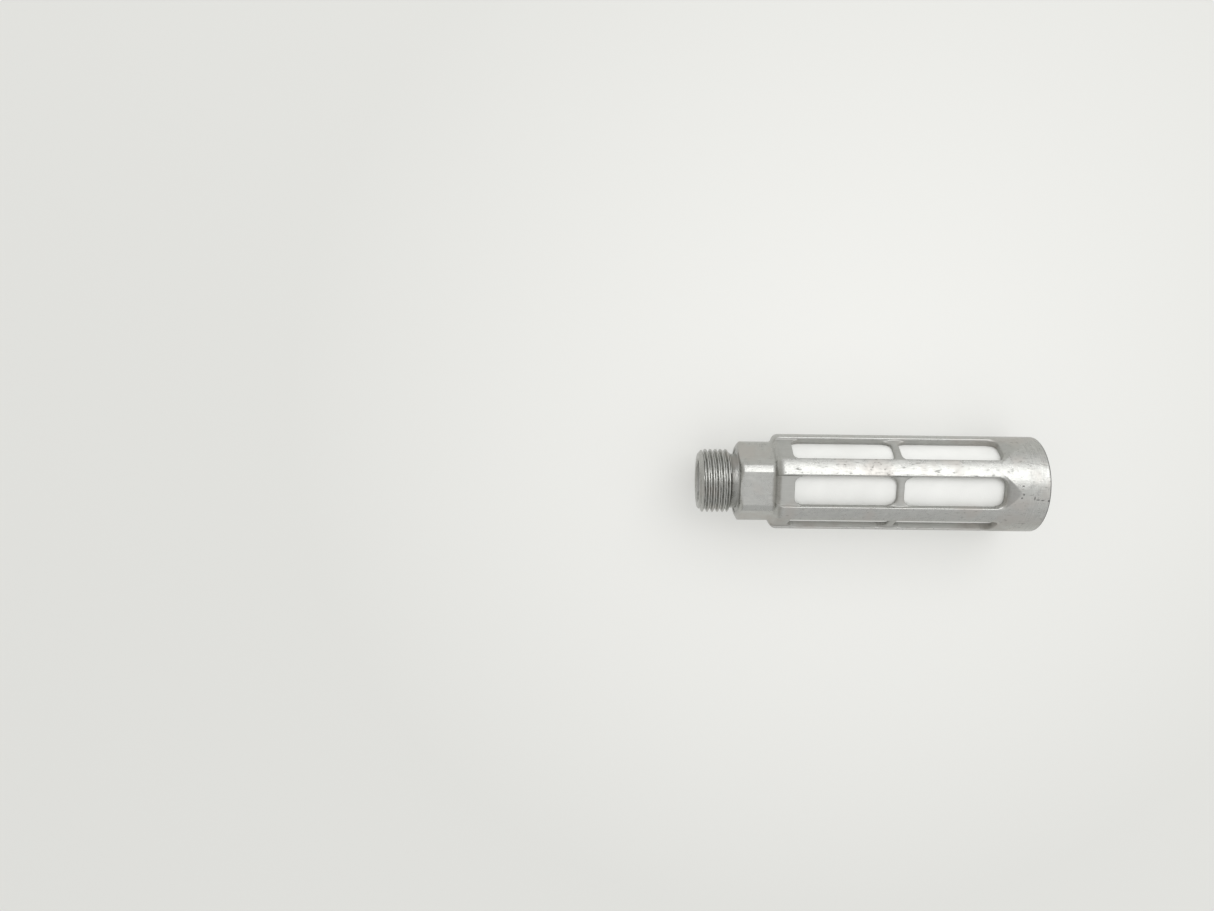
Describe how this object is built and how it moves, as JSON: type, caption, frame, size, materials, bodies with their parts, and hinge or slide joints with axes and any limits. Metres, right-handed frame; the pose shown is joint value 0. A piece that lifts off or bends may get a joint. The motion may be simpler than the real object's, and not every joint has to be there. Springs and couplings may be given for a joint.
{
  "type": "pneumatic muffler",
  "caption": "Screw-in exhaust muffler: cast cage with hexagon, male pipe thread and open windows around a white porous sleeve, closed end.",
  "frame": {"origin": "on the axis, in the plane of the shoulder that seats on the port", "axes": "+X along the axis from the thread to the closed end, +Z out of a hexagon flat and the row of windows in line with it"},
  "size_m": [0.0878, 0.025, 0.025],
  "materials": {
    "cast_aluminium": "satin, finely mottled as cast and tumbled",
    "porous_polymer": "matt, fine sintered grain",
    "pressed_aluminium": "satin",
    "spring_steel": "dark satin"
  },
  "bodies": {
    "root": {"housing": "cast_aluminium", "porous_sleeve": "porous_polymer", "sleeve_plug": "porous_polymer", "end_cover": "pressed_aluminium", "retaining_ring": "spring_steel"}
  },
  "joints": []
}
